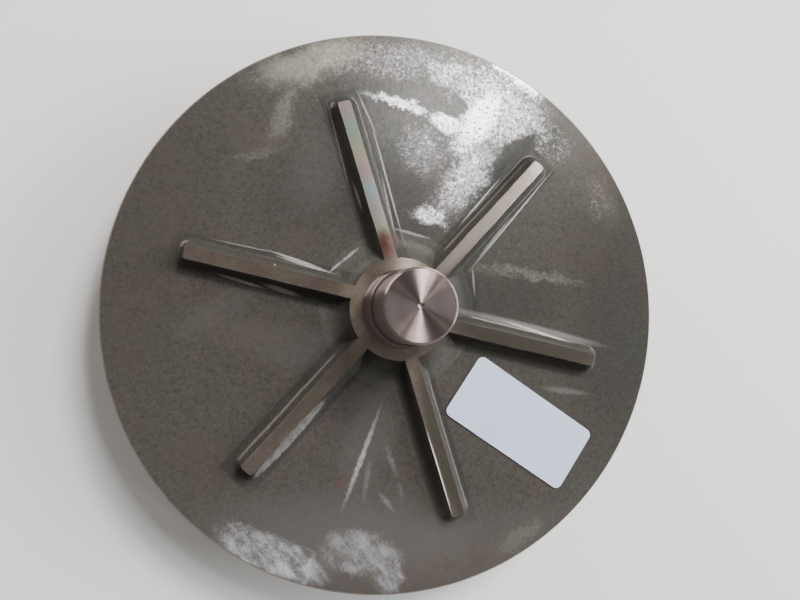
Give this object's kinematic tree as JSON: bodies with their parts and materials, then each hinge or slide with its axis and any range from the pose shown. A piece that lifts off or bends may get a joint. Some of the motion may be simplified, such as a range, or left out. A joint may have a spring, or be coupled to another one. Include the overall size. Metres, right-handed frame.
{
  "type": "pump impeller",
  "caption": "Open cast steel pump impeller: a round disc with low radial ribs and a solid round stub on one side and curved working vanes on the other.",
  "frame": {"origin": "on the axis, in the plane of the working vanes' tips, on which the impeller rests", "axes": "+Z along the axis towards the stub's end, +X to the right of the picture and +Y up in it"},
  "size_m": [0.216, 0.216, 0.0665],
  "materials": {
    "cast_steel": "satin brown-grey cast skin with turned rib tops, hub and stub",
    "label_paper": "matt white self-adhesive paper, blank"
  },
  "bodies": {
    "root": {"impeller_casting": "cast_steel", "stock_label": "label_paper"}
  },
  "joints": []
}
